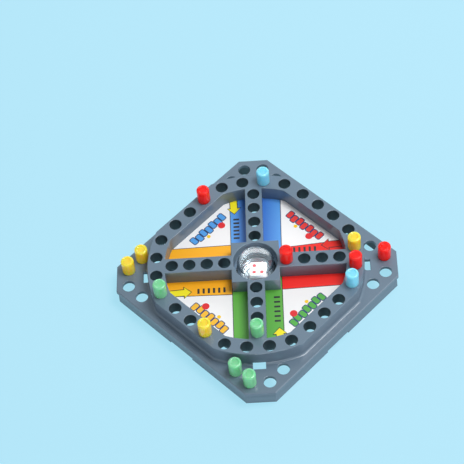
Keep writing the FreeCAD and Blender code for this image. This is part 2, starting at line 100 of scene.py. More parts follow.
def add_node(tree: NodeTree, kind: str, inputs: dict | None = None, **settings: object) -> Node:
    """Add a node with its settings, and fill or link its inputs.

    Args:
        tree: the node tree it goes into.
        kind: Blender's type name of the node.
        inputs: socket name or index, to a value or to the socket that feeds it.
        settings: properties of the node.

    Returns:
        The new node.
    """
    node = tree.nodes.new(kind)
    for name, value in settings.items():
        setattr(node, name, value)
    for key, value in (inputs or {}).items():
        if isinstance(value, NodeSocket):
            tree.links.new(value, node.inputs[key])
        else:
            node.inputs[key].default_value = value
    return node


def new_material(name: str) -> tuple[Material, NodeTree]:
    """Make an empty node material.

    Args:
        name: the real material and how its surface was made.

    Returns:
        The material and its empty node tree.
    """
    made = bpy.data.materials.new(name)
    made.use_nodes = True
    made.node_tree.nodes.clear()
    return made, made.node_tree


def link_object(name: str, data: ID) -> Object:
    """Put a mesh, a lamp or a camera into the scene.

    Args:
        name: name of the object.
        data: the mesh, lamp or camera.

    Returns:
        The object.
    """
    made = bpy.data.objects.new(name, data)
    bpy.context.scene.collection.objects.link(made)
    return made


def mesh_from(name: str, build: BMesh) -> Object:
    """Make an object from a bmesh, with its faces pointing outwards.

    Args:
        name: name of the object and of its mesh.
        build: the closed shape, in metres.

    Returns:
        The object.
    """
    bmesh.ops.recalc_face_normals(build, faces=build.faces)
    mesh = bpy.data.meshes.new(name)
    build.to_mesh(mesh)
    build.free()
    return link_object(name, mesh)


def settle(piece: Object) -> Object:
    """Turn the result of a piece's modifiers into its plain mesh.

    Args:
        piece: an object with modifiers.

    Returns:
        The same object, with that mesh and no modifiers.
    """
    graph = bpy.context.evaluated_depsgraph_get()
    mesh = bpy.data.meshes.new_from_object(piece.evaluated_get(graph), depsgraph=graph)
    piece.modifiers.clear()
    piece.data = mesh
    return piece


def smooth(piece: Object, angle: float = 30.0) -> Object:
    """Shade a piece smooth with sharp edges, and keep its flats flat.

    Args:
        piece: the object.
        angle: edges that turn by more degrees than this stay sharp.

    Returns:
        The same object.
    """
    piece.data.shade_smooth()
    piece.data.set_sharp_from_angle(angle=math.radians(angle))
    weighted = piece.modifiers.new("flat faces", "WEIGHTED_NORMAL")
    weighted.keep_sharp = True
    return settle(piece)


def drop(*pieces: Object) -> None:
    """Delete shapes that were only copied or cut with."""
    for piece in pieces:
        bpy.data.objects.remove(piece)


def cut_out(piece: Object, *cutters: Object) -> None:
    """Take the cutters' shapes out of a piece, and delete them.

    Args:
        piece: the piece that is cut.
        cutters: closed shapes; their materials colour the cut faces.
    """
    for cutter in cutters:
        cut = piece.modifiers.new("cut", "BOOLEAN")
        cut.object = cutter
        cut.solver = "EXACT"
        cut.material_mode = "TRANSFER" if cutter.data.materials else "INDEX"
    settle(piece)
    drop(*cutters)


def dress(piece: Object, material: Material) -> Object:
    """Give a piece or a CAD node one finish all over.

    Args:
        piece: the piece or the node's object.
        material: its finish.

    Returns:
        The same object.
    """
    piece.data.materials.clear()
    piece.data.materials.append(material)
    return piece


def turned_place(angle: float, shift: Triple = (0.0, 0.0, 0.0)) -> Matrix:
    """Return the matrix of a shift in millimetres and then a turn about the board's axis.

    Args:
        angle: degrees about Z.
        shift: where it goes before the turn, in millimetres.

    Returns:
        The matrix, in metres.
    """
    return Matrix.Rotation(math.radians(angle), 4, "Z") @ Matrix.Translation(Vector(shift) * MM)


# ---------------------------------------------------------------- geometry node trees


def new_tree(name: str, inputs: dict[str, str]) -> NodeTree:
    """Start a geometry node tree with named inputs.

    Args:
        name: name of the tree.
        inputs: name of each input after the geometry, to its socket type.

    Returns:
        The tree, with its interface.
    """
    tree = bpy.data.node_groups.new(name, "GeometryNodeTree")
    tree.interface.new_socket("Geometry", in_out="INPUT", socket_type="NodeSocketGeometry")
    for socket, kind in inputs.items():
        tree.interface.new_socket(socket, in_out="INPUT", socket_type="NodeSocket" + kind)
    tree.interface.new_socket("Geometry", in_out="OUTPUT", socket_type="NodeSocketGeometry")
    return tree


def end_tree(tree: NodeTree, geometry: NodeSocket, material: NodeSocket) -> None:
    """End a tree in Realize Instances and Set Material.

    Args:
        tree: the tree.
        geometry: what it has made.
        material: the material to set.
    """
    real = add_node(tree, "GeometryNodeRealizeInstances", {"Geometry": geometry})
    dressed = add_node(tree, "GeometryNodeSetMaterial",
                       {"Geometry": real.outputs["Geometry"], "Material": material})
    add_node(tree, "NodeGroupOutput", {"Geometry": dressed.outputs["Geometry"]})


def run_tree(piece: Object, tree: NodeTree, **inputs: object) -> Object:
    """Run a geometry node tree on a piece and keep the result as its mesh.

    Args:
        piece: the object that holds the tree's points or profile.
        tree: the tree.
        inputs: the tree's inputs, with _ for each space in their names.

    Returns:
        The same object.
    """
    modifier = piece.modifiers.new(tree.name, "NODES")
    modifier.node_group = tree
    sockets = {s.name.replace(" ", "_"): s.identifier
               for s in tree.interface.items_tree if s.in_out == "INPUT"}
    for name, value in inputs.items():
        modifier[sockets[name]] = value
    return settle(piece)


class Lathe:
    """Turns a profile about the board's axis: pegs, dome, disc and the screws' blank."""

    AXIS_R = 1.0                # radius of the ring that the profile is swept along

    def __init__(self) -> None:
        """Build the tree once."""
        tree = new_tree("turned part", {"Segments": "Int", "Axis Radius": "Float",
                                        "Edge Steps": "Int", "Material": "Material"})
        given = add_node(tree, "NodeGroupInput").outputs
        edge = add_node(tree, "GeometryNodeInputNamedAttribute", {"Name": "edge"})
        line = add_node(tree, "GeometryNodeMeshToCurve", {"Mesh": given["Geometry"]})
        rounded = add_node(tree, "GeometryNodeFilletCurve",
                           {"Curve": line.outputs["Curve"], "Count": given["Edge Steps"],
                            "Radius": edge.outputs["Attribute"], "Limit Radius": True}, mode="POLY")
        ring = add_node(tree, "GeometryNodeCurvePrimitiveCircle",
                        {"Resolution": given["Segments"], "Radius": given["Axis Radius"]}, mode="RADIUS")
        swept = add_node(tree, "GeometryNodeCurveToMesh",
                         {"Curve": ring.outputs["Curve"], "Profile Curve": rounded.outputs["Curve"]})
        closed = add_node(tree, "GeometryNodeMergeByDistance",
                          {"Geometry": swept.outputs["Mesh"], "Distance": WELD})
        end_tree(tree, closed.outputs["Geometry"], given["Material"])
        self.tree = tree

    def turn(self, name: str, profile: list[Triple], material: Material, segments: int = 64,
             steps: int = 5) -> Object:
        """Turn one profile.

        Args:
            name: name of the piece.
            profile: radius, height and edge radius of each corner, in millimetres.
            material: its finish.
            segments: sides of the turned shape.
            steps: points round each edge.

        Returns:
            The turned piece, shaded and with its faces pointing outwards.
        """
        mesh = bpy.data.meshes.new(name)
        mesh.from_pydata([((r - self.AXIS_R) * MM, -z * MM, 0.0) for r, z, _ in profile],
                         [(i, i + 1) for i in range(len(profile) - 1)], [])
        radii = mesh.attributes.new("edge", "FLOAT", "POINT")
        radii.data.foreach_set("value", [edge * MM for _, _, edge in profile])
        piece = link_object(name, mesh)
        run_tree(piece, self.tree, Segments=segments, Axis_Radius=self.AXIS_R * MM,
                 Edge_Steps=steps, Material=material)
        build = bmesh.new()
        build.from_mesh(piece.data)
        bmesh.ops.recalc_face_normals(build, faces=build.faces)
        build.to_mesh(piece.data)
        build.free()
        return smooth(piece)


class Scatter:
    """Sets copies of one shape on points: pips, tiles, bars and screws."""

    SEED = 7

    def __init__(self) -> None:
        """Build the tree once."""
        tree = new_tree("set on points", {"Shape": "Object", "Scale": "Float", "Spin": "Float",
                                          "Seed": "Int", "Material": "Material"})
        given = add_node(tree, "NodeGroupInput").outputs
        turn = add_node(tree, "GeometryNodeInputNamedAttribute", {"Name": "turn"},
                        data_type="FLOAT_VECTOR")
        lean = add_node(tree, "FunctionNodeEulerToRotation", {"Euler": turn.outputs["Attribute"]})
        chance = add_node(tree, "FunctionNodeRandomValue",
                          {2: 0.0, 3: given["Spin"], "Seed": given["Seed"]}, data_type="FLOAT")
        about = add_node(tree, "ShaderNodeCombineXYZ", {"Z": chance.outputs[1]})
        own = add_node(tree, "FunctionNodeEulerToRotation", {"Euler": about.outputs["Vector"]})
        both = add_node(tree, "FunctionNodeRotateRotation",
                        {"Rotation": lean.outputs["Rotation"], "Rotate By": own.outputs["Rotation"]},
                        rotation_space="LOCAL")
        shape = add_node(tree, "GeometryNodeObjectInfo", {"Object": given["Shape"]},
                         transform_space="ORIGINAL")
        placed = add_node(tree, "GeometryNodeInstanceOnPoints",
                          {"Points": given["Geometry"], "Instance": shape.outputs["Geometry"],
                           "Rotation": both.outputs["Rotation"], "Scale": given["Scale"]})
        end_tree(tree, placed.outputs["Instances"], given["Material"])
        self.tree = tree

    def set_out(self, name: str, shape: Object, places: list[tuple[Vector, Euler]],
                material: Material, scale: float = 1.0, spin: float = 0.0) -> Object:
        """Set copies of a shape on places.

        Args:
            name: name of the piece.
            shape: what is copied; it is left to the caller to delete.
            places: point in metres and turn of each copy.
            material: finish of all the copies.
            scale: size of the copies.
            spin: most that a copy turns by chance about its own axis, in radians.

        Returns:
            All copies as one piece.
        """
        mesh = bpy.data.meshes.new(name)
        mesh.from_pydata([place for place, _ in places], [], [])
        turns = mesh.attributes.new("turn", "FLOAT_VECTOR", "POINT")
        turns.data.foreach_set("vector", [value for _, turn in places for value in turn])
        return run_tree(link_object(name, mesh), self.tree, Shape=shape, Scale=scale, Spin=spin,
                        Seed=self.SEED, Material=material)


def flat_plate(name: str, outline: list[Point], low: float, high: float,
               place: Matrix = Matrix.Identity(4)) -> Object:
    """Make a thin plate from its outline.

    Args:
        name: name of the piece.
        outline: corners in order, in millimetres.
        low: height of its underside, in millimetres.
        high: height of its top, in millimetres.
        place: where it goes, in metres.

    Returns:
        The plate.
    """
    build = bmesh.new()
    foot, top = ([build.verts.new((x * MM, y * MM, z * MM)) for x, y in outline] for z in (low, high))
    build.faces.new(foot[::-1])
    build.faces.new(top)
    for i in range(len(outline)):
        j = (i + 1) % len(outline)
        build.faces.new((foot[i], foot[j], top[j], top[i]))
    bmesh.ops.transform(build, matrix=place, verts=build.verts)
    return mesh_from(name, build)


def rounded_outline(width: float, height: float, radius: float, steps: int = 6) -> list[Point]:
    """Return the outline of a rectangle with rounded corners, centred.

    Args:
        width: its size along X.
        height: its size along Y.
        radius: radius of its corners.
        steps: points along each corner.

    Returns:
        Its corners in order.
    """
    points = []
    for quarter, (x, y) in enumerate(((1, 1), (-1, 1), (-1, -1), (1, -1))):
        for step in range(steps + 1):
            angle = math.radians(90 * quarter + 90 * step / steps)
            points.append((x * (width / 2 - radius) + radius * math.cos(angle),
                           y * (height / 2 - radius) + radius * math.sin(angle)))
    return points


# ---------------------------------------------------------------- finishes


@dataclass(frozen=True, kw_only=True)
class Finish:
    """A finish drawn by nodes on Object coordinates: soft noise gives a fine relief, and carries the
    colour between two tones."""

    name: str
    body: str
    deep: str = ""              # the second tone; where it is empty, the body's own, darkened
    darkened: float = 0.9
    roughness: float
    uneven: float = 0.0         # most that the roughness strays either way
    relief_mm: float
    relief_detail: float = 2.0
    relief_depth_mm: float
    cloud_mm: float = 0.0       # size of clouds that carry the colour in place of the relief
    cloud_detail: float = 3.0
    shadow: str = ""            # tint of lamplight that passes straight through, where any does

    def material(self) -> Material:
        """Build the node material.

        Returns:
            The material, under the finish's name.
        """
        made, tree = new_material(self.name)
        place = add_node(tree, "ShaderNodeTexCoord").outputs["Object"]
        relief = add_node(tree, "ShaderNodeTexNoise",
                          {"Vector": place, "Scale": 1 / (self.relief_mm * MM),
                           "Detail": self.relief_detail}).outputs["Fac"]
        bump = add_node(tree, "ShaderNodeBump",
                        {"Height": relief, "Distance": self.relief_depth_mm * MM})
        gloss: float | NodeSocket = self.roughness
        if self.uneven:
            gloss = add_node(tree, "ShaderNodeMapRange",
                             {"Value": relief, "To Min": self.roughness - self.uneven,
                              "To Max": self.roughness + self.uneven}).outputs["Result"]
        shader = add_node(tree, "ShaderNodeBsdfPrincipled",
                          {"Base Color": self.colour(tree, place, relief), "Roughness": gloss,
                           "Normal": bump.outputs["Normal"], **self.values()}).outputs["BSDF"]
        if self.shadow:
            ray = add_node(tree, "ShaderNodeLightPath").outputs["Is Shadow Ray"]
            air = add_node(tree, "ShaderNodeBsdfTransparent", {"Color": srgb(self.shadow)}).outputs["BSDF"]
            shader = add_node(tree, "ShaderNodeMixShader", {"Fac": ray, 1: shader, 2: air}).outputs["Shader"]
        add_node(tree, "ShaderNodeOutputMaterial", {"Surface": shader})
        return made

    def colour(self, tree: NodeTree, place: NodeSocket, relief: NodeSocket) -> NodeSocket | Rgba:
        """Draw the colour.

        Args:
            tree: the material's tree.
            place: Object coordinates.
            relief: the noise that carries it between its tones.

        Returns:
            The colour's socket, or the colour itself where it is the same all over.
        """
        if self.cloud_mm:
            relief = add_node(tree, "ShaderNodeTexNoise",
                              {"Vector": place, "Scale": 1 / (self.cloud_mm * MM),
                               "Detail": self.cloud_detail}).outputs["Fac"]
        body = srgb(self.body)
        deep = srgb(self.deep) if self.deep else tuple(self.darkened * c for c in body[:3]) + (1.0,)
        return add_node(tree, "ShaderNodeMix", {MIX_BY: relief, MIX_A: body, MIX_B: deep},
                        data_type="RGBA").outputs[MIXED]

    def values(self) -> dict[str, object]:
        """Return the shader's other values."""
        return {}


@dataclass(frozen=True, kw_only=True)
class MouldedStyrene(Finish):
    """Injection-moulded high-impact polystyrene.

    A satin sheen that mirrors bright print beside it, with a fine grain from the mould's
    spark-eroded face, and slow, faint clouds of colour where the melt flowed.
    """

    name: str = "moulded polystyrene"
    body: str = "#677A8B"
    deep: str = "#5F7283"
    roughness: float = 0.25
    uneven: float = 0.05
    relief_mm: float = 0.5      # real grain is about 0.05 mm; drawn coarser so that it shows
    relief_depth_mm: float = 0.006
    cloud_mm: float = 22.0

    def values(self) -> dict[str, object]:
        """Return the shader's other values."""
        return {"IOR": STYRENE_IOR}


@dataclass(frozen=True, kw_only=True)
class PegStyrene(Finish):
    """Tinted polystyrene from a polished mould: glossy, with faint shrinkage waves in its walls, and
    light soaks some way into it."""

    roughness: float = 0.15
    relief_mm: float = 3.0
    relief_detail: float = 1.0
    relief_depth_mm: float = 0.02
    gloss: float = 0.5          # strength of its glare; 0.5 is what its IOR gives
    soak: float = 1.0
    soak_mm: float = 9.0
    soak_tint: Triple = (1.0, 0.4, 0.1)     # share of soak_mm that red, green and blue light goes
    clear: float = 0.0

    def values(self) -> dict[str, object]:
        """Return the shader's other values."""
        return {"IOR": STYRENE_IOR, "Specular IOR Level": self.gloss, "Subsurface Weight": self.soak,
                "Subsurface Scale": self.soak_mm * MM, "Subsurface Radius": self.soak_tint,
                "Transmission Weight": self.clear}


@dataclass(frozen=True, kw_only=True)
class ClearStyrene(Finish):
    """Crystal polystyrene from a polished mould: clear as glass, with sharp highlights that the slow
    waves of its wall bend. Lamps shine straight through it."""

    name: str = "clear polystyrene"
    body: str = "#F6FAFC"
    shadow: str = "#F2F5F7"
    roughness: float = 0.02
    relief_mm: float = 6.0
    relief_detail: float = 0.0
    relief_depth_mm: float = 0.02

    def colour(self, tree: NodeTree, place: NodeSocket, relief: NodeSocket) -> NodeSocket | Rgba:
        """Return the shell's one tint; the arguments aren't needed."""
        return srgb(self.body)

    def values(self) -> dict[str, object]:
        """Return the shader's other values."""
        return {"IOR": STYRENE_IOR, "Transmission Weight": 1.0}


@dataclass(frozen=True, kw_only=True)
class TurnedSteel:
    """Steel with the fine rings of its pressing or turning, centred on the board's axis. Light runs
    round it in arcs, dulled a little here and there by handling."""

    name: str
    body: str
    roughness: float
    ring_mm: float
    ring_depth_mm: float
    smudge_mm: float = 4.0
    smudge_detail: float = 3.0
    smudge_range: Point = (0.8, 1.25)       # share of the roughness, where bright and where dull

    def material(self) -> Material:
        """Build the node material.

        Returns:
            The material, under the finish's name.
        """
        made, tree = new_material(self.name)
        place = add_node(tree, "ShaderNodeTexCoord").outputs["Object"]
        flat = add_node(tree, "ShaderNodeVectorMath", {0: place, 1: (1.0, 1.0, 0.0)}, operation="MULTIPLY")
        reach = add_node(tree, "ShaderNodeVectorMath", {0: flat.outputs["Vector"]}, operation="LENGTH")
        phase = add_node(tree, "ShaderNodeMath",
                         {0: reach.outputs["Value"], 1: math.tau / (self.ring_mm * MM)},
                         operation="MULTIPLY")
        ring = add_node(tree, "ShaderNodeMath", {0: phase.outputs["Value"]}, operation="SINE")
        bump = add_node(tree, "ShaderNodeBump",
                        {"Height": ring.outputs["Value"], "Distance": self.ring_depth_mm * MM})
        smudge = add_node(tree, "ShaderNodeTexNoise", {"Vector": place, "Scale": 1 / (self.smudge_mm * MM),
                                                       "Detail": self.smudge_detail})
        bright, dull = (self.roughness * share for share in self.smudge_range)
        gloss = add_node(tree, "ShaderNodeMapRange",
                         {"Value": smudge.outputs["Fac"], "To Min": bright, "To Max": dull})
        shader = add_node(tree, "ShaderNodeBsdfPrincipled",
                          {"Base Color": srgb(self.body), "Metallic": 1.0,
                           "Roughness": gloss.outputs["Result"], "Normal": bump.outputs["Normal"]})
        add_node(tree, "ShaderNodeOutputMaterial", {"Surface": shader.outputs["BSDF"]})
        return made


@dataclass(frozen=True, kw_only=True)
class Ink(Finish):
    """Offset ink on coated card: flat colour with the card's faint tooth under it."""

    roughness: float = 0.38
    relief_mm: float = 0.6
    relief_depth_mm: float = 0.01


@dataclass(frozen=True)
class Strip:
    """A printed strip along one of the two arms beside a card. Lengths are in millimetres."""

    along_second: bool      # True where it runs along the arm on the card's left, seen from the hub
    near: str               # its ink beside the arm, darker with painted shade from the arm's wall
    far: str                # its ink's own colour, at its outer line
    width: float            # from the arm's centre line to the outer line, worked back to the hub
    slope: float = 0.0      # how much wider it grows with each millimetre along the arm


@dataclass(frozen=True, kw_only=True)
class PrintedCard(Finish):
    """Coated white card, offset printed: a colour strip beside each of its arms, with a thin black
    line along the strip; each strip is darker beside its arm, with painted shade from the arm's
    wall. The card's clay coat gives a soft even gloss over a faint tooth."""

    angle: float
    under: Strip
    over: Strip
    body: str = "#F8F8F9"
    line: str = "#1C2026"
    line_mm: float = 0.45
    arm_half_mm: float = 5.25
    roughness: float = 0.34
    uneven: float = 0.04
    relief_mm: float = 0.6
    relief_depth_mm: float = 0.01

    def colour(self, tree: NodeTree, place: NodeSocket, relief: NodeSocket) -> NodeSocket | Rgba:
        """Draw the strips on axes turned along the card's two arms, darker beside each arm: painted shade.

        Args:
            tree: the material's tree.
            place: Object coordinates.
            relief: the card's tooth, which its print doesn't follow; not used.

        Returns:
            The colour's socket.
        """
        turn = math.radians(ARM_ANGLES["right"] - self.angle)
        along = add_node(tree, "ShaderNodeMapping", {"Vector": place, "Rotation": (0.0, 0.0, turn)})
        colour = srgb(self.body)
        for strip in (self.under, self.over):
            across = (1.0, -strip.slope, 0.0) if strip.along_second else (-strip.slope, 1.0, 0.0)
            reach = add_node(tree, "ShaderNodeVectorMath", {0: along.outputs["Vector"], 1: across},
                             operation="DOT_PRODUCT").outputs["Value"]
            shade = add_node(tree, "ShaderNodeMapRange",
                             {"Value": reach, "From Min": self.arm_half_mm * MM,
                              "From Max": strip.width * MM})
            # painted shade: the ink runs from darker beside the arm to its own colour at the outer line
            tint = add_node(tree, "ShaderNodeMix",
                            {MIX_BY: shade.outputs["Result"], MIX_A: srgb(strip.near),
                             MIX_B: srgb(strip.far)}, data_type="RGBA")
            ink = srgb(self.line)
            for limit in (strip.width + self.line_mm, strip.width):
                inside = add_node(tree, "ShaderNodeMath", {0: reach, 1: limit * MM}, operation="LESS_THAN")
                mixed = add_node(tree, "ShaderNodeMix", {MIX_BY: inside.outputs["Value"], MIX_A: colour,
                                                         MIX_B: ink}, data_type="RGBA")
                colour, ink = mixed.outputs[MIXED], tint.outputs[MIXED]
        return colour


@dataclass(frozen=True, kw_only=True)
class DiePlastic(Finish):
    """Tumbled white ABS or the paint in its pips: soft gloss with the faint orange peel of tumbling."""

    darkened: float = 0.95
    roughness: float = 0.22
    relief_mm: float = 1.5
    relief_detail: float = 1.0
    relief_depth_mm: float = 0.02
    soak: float = 0.1
    soak_mm: float = 1.0

    def values(self) -> dict[str, object]:
        """Return the shader's other values."""
        return {"IOR": ABS_IOR, "Subsurface Weight": self.soak, "Subsurface Scale": self.soak_mm * MM}


def seen_or_mirrored(tree: NodeTree) -> NodeSocket:
    """Return 1 where the camera sees a surface, straight, mirrored or through something clear.

    Args:
        tree: the material's or the world's tree.

    Returns:
        The socket that carries it, 0 for light that falls on things.
    """
    ray = add_node(tree, "ShaderNodeLightPath").outputs
    straight = add_node(tree, "ShaderNodeMath",
                        {0: ray["Is Camera Ray"], 1: ray["Is Transmission Ray"]}, operation="MAXIMUM")
    either = add_node(tree, "ShaderNodeMath",
                      {0: straight.outputs["Value"], 1: ray["Is Glossy Ray"]}, operation="MAXIMUM")
    return either.outputs["Value"]


@dataclass(frozen=True)
class FloorPaper:
    """Matt studio paper. What the camera sees of it is mostly its own pale blue, also through the
    board's openings; the rest takes the object's shadow. The light that it throws back is nearly
    neutral."""

    name: str = "matt studio paper"
    colour: str = "#AEEBFF"
    shaded: str = "#D4D0D8"
    own: float = 0.84           # the share of its look that is its own colour

    def material(self) -> Material:
        """Build the node material.

        Returns:
            The material.
        """
        made, tree = new_material(self.name)
        share = add_node(tree, "ShaderNodeMath", {0: seen_or_mirrored(tree), 1: self.own},
                         operation="MULTIPLY")
        paper = add_node(tree, "ShaderNodeBsdfDiffuse", {"Color": srgb(self.shaded)})
        glow = add_node(tree, "ShaderNodeEmission", {"Color": srgb(self.colour), "Strength": 1.0})
        mixed = add_node(tree, "ShaderNodeMixShader",
                         {"Fac": share.outputs["Value"], 1: paper.outputs["BSDF"],
                          2: glow.outputs["Emission"]})
        add_node(tree, "ShaderNodeOutputMaterial", {"Surface": mixed.outputs["Shader"]})
        return made


class Colour(Enum):
    """The four players' colours, as peg finishes."""

    RED = PegStyrene(name="red peg polystyrene", body="#F8231C", deep="#EA1610", gloss=0.2)
    YELLOW = PegStyrene(name="yellow peg polystyrene", body="#FFDA34", deep="#FFD024",
                        soak_tint=(1.0, 0.55, 0.1))
    GREEN = PegStyrene(name="green peg polystyrene", body="#8ADDA6", deep="#76D195", soak=0.6,
                       soak_tint=(0.3, 1.0, 0.5), clear=0.1)
    BLUE = PegStyrene(name="light blue peg polystyrene", body="#8EDDFE", deep="#74D2FC", soak=0.6,
                      soak_tint=(0.3, 0.7, 1.0), clear=0.05)


# ---------------------------------------------------------------- the board

UPPER_EDGES = 11.0          # edges are rounded, and hole walls painted dark as shade, above this height
BORE_R = 3.8
BORE_FACES = 12             # fewest walls about one axis that make a hole
SHELF_UNDER = 9.2           # height under which the skirt's inner side is painted dark as shade
SKIRT_REACH = 50.0          # the skirt stands farther from the board's axis than this
UPRIGHT, FACING_UP = 0.1, 0.9       # upward part of a face's normal: most in a wall, least in a top
BEVEL_UP = 0.2              # a rounded edge's faces that point up more than this keep the plain finish, without the painted shade
FLAT_ANGLE, EDGE_ANGLE = 0.2, 50.0  # degrees: edges under the one are dissolved, over the other rounded


def painted_shade_walls(build: BMesh) -> list[BMFace]:
    """Find the walls of the track's peg holes, and the skirt's inner side, which take painted shade.

    Args:
        build: the board's mesh.

    Returns:
        Upright faces above the shelf that face the axis of a hole, and those under it that face inwards.
    """
    found: list[BMFace] = []
    axes: dict[Point, list[BMFace]] = {}
    for face in (f for f in build.faces if abs(f.normal.z) < UPRIGHT):
        middle = face.calc_center_median()
        if middle.z > UPPER_EDGES * MM:
            axis = (middle + face.normal * BORE_R * MM) / MM
            axes.setdefault((round(axis.x), round(axis.y)), []).append(face)
        elif (middle.z < SHELF_UNDER * MM and middle.xy.length > SKIRT_REACH * MM
              and face.normal.xy.dot(middle.xy) < 0):
            found.append(face)
    for (x, y), faces in axes.items():
        near = sum(len(axes.get((x + i, y + j), [])) for i in (-1, 0, 1) for j in (-1, 0, 1))
        if near >= BORE_FACES:
            found += faces
    return found


def dressed_copy(node: str, name: str, material: Material, edge: float = 0.0,
                 painted_shade: Material | None = None, cutters: tuple[Object, ...] = ()) -> Object:
    """Make a smooth-shaded piece from a CAD node's own shape, and let it stand for the node.

    Args:
        node: the CAD node.
        name: name of the piece.
        material: its finish.
        edge: radius to round its upper edges with, in millimetres.
        painted_shade: finish of the walls that are painted dark as shade.
        cutters: shapes that are taken out of it.

    Returns:
        The piece, riding on the node's body.
    """
    source = frame["nodes"][node]
    build = bmesh.new()
    build.from_mesh(source.data)
    bmesh.ops.remove_doubles(build, verts=build.verts, dist=WELD)
    bmesh.ops.dissolve_degenerate(build, dist=WELD, edges=build.edges)
    bmesh.ops.dissolve_limit(build, angle_limit=math.radians(FLAT_ANGLE), use_dissolve_boundaries=False,
                             verts=build.verts, edges=build.edges)
    for face in build.faces:
        face.material_index = 0
    # painted shade: the peg holes' bores and the skirt's inner side take the dark finish
    if painted_shade:
        for face in painted_shade_walls(build):
            face.material_index = 1
    if edge:
        upper = [e for e in build.edges if min(v.co.z for v in e.verts) > UPPER_EDGES * MM
                 and len(e.link_faces) == 2 and e.calc_face_angle_signed() > math.radians(EDGE_ANGLE)
                 and max(f.normal.z for f in e.link_faces) > FACING_UP]
        bmesh.ops.bevel(build, geom=upper, offset=edge * MM, segments=3, profile=0.5,
                        affect="EDGES", clamp_overlap=False)
        # upward faces of the rounded edges keep the plain finish, without the painted shade
        for face in build.faces:
            if face.normal.z > BEVEL_UP:
                face.material_index = 0
    mesh = bpy.data.meshes.new(name)
    for finish in filter(None, (material, painted_shade)):
        mesh.materials.append(finish)
    build.to_mesh(mesh)
    build.free()
    piece = link_object(name, mesh)
    cut_out(piece, *cutters)
    smooth(piece)
    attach(piece, source["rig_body"])
    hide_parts(node)
    return piece


@dataclass(kw_only=True)
class Assembly:
    """A sub-assembly, with the trees that its pieces share. Lengths are in millimetres."""

    lathe: Lathe
    scatter: Scatter


@dataclass(kw_only=True)
class BoardCase(Assembly):
    """The one-piece board, its floor plate and the four screws that hold the plate."""

    screw_ring: float = 17.0
    screw_seat: float = 8.0
    screw_head: float = 1.3
    screw_head_r: float = 1.9
    screw_crown: float = 0.7    # radius of the head's top, as a share of screw_head_r
    screw_rim: float = 0.45     # height of the head's rim, as a share of screw_head
    screw_r: float = 1.0
    screw_core: float = 0.8     # radius between the threads, as a share of screw_r
    screw_point: float = 0.3    # radius of the point, as a share of screw_r
    point_length: float = 0.7
    point_round: float = 0.1
    screw_length: float = 9.4
    thread_start: float = 0.6
    thread_end: float = 1.2     # from the tip
    thread_pitch: float = 0.8
    thread_crest: float = 0.03
    recess_half: float = 1.15
    recess_width: float = 0.5
    recess_corner: float = 0.1
    recess_depth: float = 0.75
    corner_rib_half: float = 0.65
    corner_rib_z: Point = (5.0, 9.19)
    corner_rib_reach: Point = (69.9, 83.5)

    def build(self) -> None:
        """Build and dress the board, the plate and the screws."""
        plastic = MouldedStyrene().material()
        # painted shade: a near-black copy of the plastic, dull as well, for the peg holes' bores and the
        # skirt's inner side, where shade falls
        painted_shade = MouldedStyrene(name="moulded polystyrene, dull bores", body="#2B343B", deep="#252D33",
                              roughness=0.55).material()
        start, end = self.corner_rib_reach
        half = self.corner_rib_half
        outline = [(start, -half), (end, -half), (end, half), (start, half)]
        ribs = tuple(flat_plate("corner_rib", outline, *self.corner_rib_z, turned_place(angle))
                     for angle in ARM_ANGLES.values())
        board = dressed_copy("game_board", "board", plastic, edge=0.3, painted_shade=painted_shade, cutters=ribs)
        log.info("board: one moulding, smoothed")
        dressed_copy("floor_plate", "plate", plastic)
        log.info("plate: floor plate with the popper's cup")
        self.screws()

    def screws(self) -> None:
        """Build the four self-tapping screws, head down, with cross recesses."""
        steel = TurnedSteel(name="zinc-plated steel", body="#C4C8CC", roughness=0.34, ring_mm=0.4,
                            ring_depth_mm=0.01).material()
        tip, core, head_r = self.screw_length, self.screw_r * self.screw_core, self.screw_head_r
        profile = [(0.0, -self.screw_head, 0.0), (head_r * self.screw_crown, -self.screw_head, 0.4),
                   (head_r, -self.screw_head * self.screw_rim, 0.2), (head_r, 0.0, 0.05)]
        for i in range(int((tip - self.thread_end) / self.thread_pitch)):
            base = self.thread_start + i * self.thread_pitch
            profile += [(core, base, 0.0),
                        (self.screw_r, base + self.thread_pitch / 2, self.thread_crest)]
        point = self.screw_r * self.screw_point
        profile += [(core, tip - self.point_length, 0.0), (point, tip - self.point_round, 0.0),
                    (0.0, tip, 0.0)]
        blank = self.lathe.turn("screw_blank", profile, steel, segments=32, steps=2)
        bar = 2 * self.recess_half, self.recess_width
        floor = self.recess_depth - self.screw_head
        cut_out(blank, *(flat_plate("recess", rounded_outline(*size, self.recess_corner, 2),
                                    -2 * self.screw_head, floor) for size in (bar, bar[::-1])))
        seats = [turned_place(90 * i, (self.screw_ring, 0, self.screw_seat)) for i in range(4)]
        screws = self.scatter.set_out("screws", blank, [(seat.to_translation(), Euler()) for seat in seats],
                                      steel, spin=math.tau)
        smooth(screws)
        drop(blank)
        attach(screws, "root")
        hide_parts("plate_screws")
        log.info("screws: four, with cross recesses")


# ---------------------------------------------------------------- the printed cards

# Each ink pair runs from darker beside the arm, a painted shade from the arm's wall, to the ink's own colour
# at the strip's outer line.
ORANGE_INK_AND_SHADE = ("#FFAC14", "#FFB61A")
RED_INK_AND_SHADE = ("#F2211B", "#F92A22")
BLUE_INK_AND_SHADE = ("#3A74CC", "#5BA1EA")
GREEN_INK_AND_SHADE = ("#55A63B", "#60B042")


